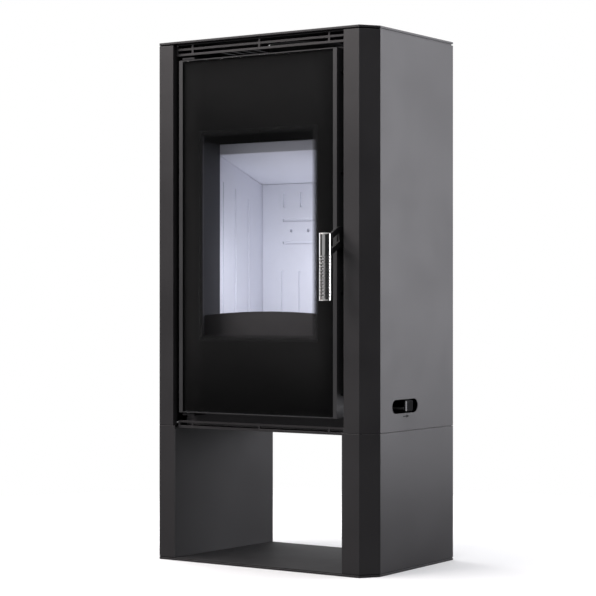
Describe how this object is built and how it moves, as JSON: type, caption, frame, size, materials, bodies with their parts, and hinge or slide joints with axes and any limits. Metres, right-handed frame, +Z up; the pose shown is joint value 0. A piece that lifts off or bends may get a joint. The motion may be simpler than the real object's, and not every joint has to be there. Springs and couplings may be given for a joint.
{
  "type": "wood burning stove",
  "caption": "Tall steel wood stove with cut-off front corners, a glazed hinged door with a lift handle, an air slider, an ash drawer and an open log store.",
  "frame": {"origin": "on the floor, under the middle of the casing's plan", "axes": "+Z up, the door faces -Y, +X is to the right when facing the door's back, which is the viewer's right"},
  "size_m": [0.545, 0.3902, 1.098],
  "materials": {
    "casing_paint": "satin black heat-proof paint",
    "firebox_steel": "matt black heat-proof paint",
    "cast_iron": "matt cast surface",
    "lining_board": "pale pressed mineral board, matt",
    "bright_steel": "plain machined steel",
    "galvanised_steel": "zinc-coated sheet",
    "door_paint": "satin dark grey paint",
    "door_glass": "ceramic glass with a black printed border",
    "seal_rope": "knitted glass-fibre rope",
    "handle_paint": "matt black paint",
    "chrome": "polished, perforated sleeve",
    "fasteners": "black oxide"
  },
  "bodies": {
    "stove": {"base_plate": "casing_paint", "pedestal_floor": "casing_paint", "pedestal_panel_left": "casing_paint", "pedestal_panel_right": "casing_paint", "pedestal_liner_left": "casing_paint", "pedestal_liner_right": "casing_paint", "pedestal_top_plate": "casing_paint", "lower_grille": "casing_paint", "casing_panel_left": "casing_paint", "casing_panel_right": "casing_paint", "top_rails": "casing_paint", "upper_grille": "casing_paint", "top_plate": "casing_paint", "rear_shield": "casing_paint", "front_frame": "firebox_steel", "firebox_side_left": "firebox_steel", "firebox_side_right": "firebox_steel", "firebox_back": "firebox_steel", "firebox_floor": "firebox_steel", "firebox_top": "firebox_steel", "flue_collar": "firebox_steel", "flue_collar_bolts": "fasteners", "lining_retainers": "firebox_steel", "lining_left": "lining_board", "lining_right": "lining_board", "lining_back": "lining_board", "throat_plate": "lining_board", "smoke_deflector": "firebox_steel", "hearth_plate": "firebox_steel", "hearth_bricks": "lining_board", "fire_grate": "cast_iron", "log_retainer": "cast_iron", "drawer_guides": "firebox_steel", "air_box": "firebox_steel", "air_spigot": "firebox_steel", "hinge_brackets": "firebox_steel", "hinge_pins": "bright_steel", "latch_keeper": "bright_steel"},
    "door": {"door_frame": "door_paint", "door_trim_left": "door_paint", "door_trim_right": "door_paint", "door_glass": "door_glass", "glass_gasket": "seal_rope", "seal_channel": "door_paint", "door_rope_seal": "seal_rope", "hinge_bushes": "bright_steel", "latch_bearing": "bright_steel", "door_screws": "fasteners"},
    "handle": {"handle_arm": "handle_paint", "handle_spindle": "bright_steel", "latch_cam": "bright_steel", "handle_grip": "chrome", "grip_core": "chrome", "grip_caps": "chrome"},
    "air_control": {"air_valve_plate": "bright_steel", "air_rod": "bright_steel", "air_knob": "handle_paint"},
    "ash_drawer": {"ash_drawer": "galvanised_steel"}
  },
  "joints": [
    {"name": "door_swing", "type": "hinge", "parent": "stove", "child": "door", "pos_m": [-0.182, -0.1485, 0.674], "axis": [0, 0, -1], "range_deg": [0, 110]},
    {"name": "handle_lift", "type": "hinge", "parent": "door", "child": "handle", "pos_m": [0.2, -0.143, 0.662], "axis": [-1, 0, 0], "range_deg": [0, 40]},
    {"name": "air_slide", "type": "slide", "parent": "stove", "child": "air_control", "axis": [0, 1, 0], "range_m": [-0.049, 0.012]},
    {"name": "drawer_slide", "type": "slide", "parent": "stove", "child": "ash_drawer", "axis": [0, -1, 0], "range_m": [0, 0.1152]}
  ],
  "couplings": [
    {"joint": "drawer_slide", "follows": "door_swing", "m_per_rad": 0.06}
  ]
}
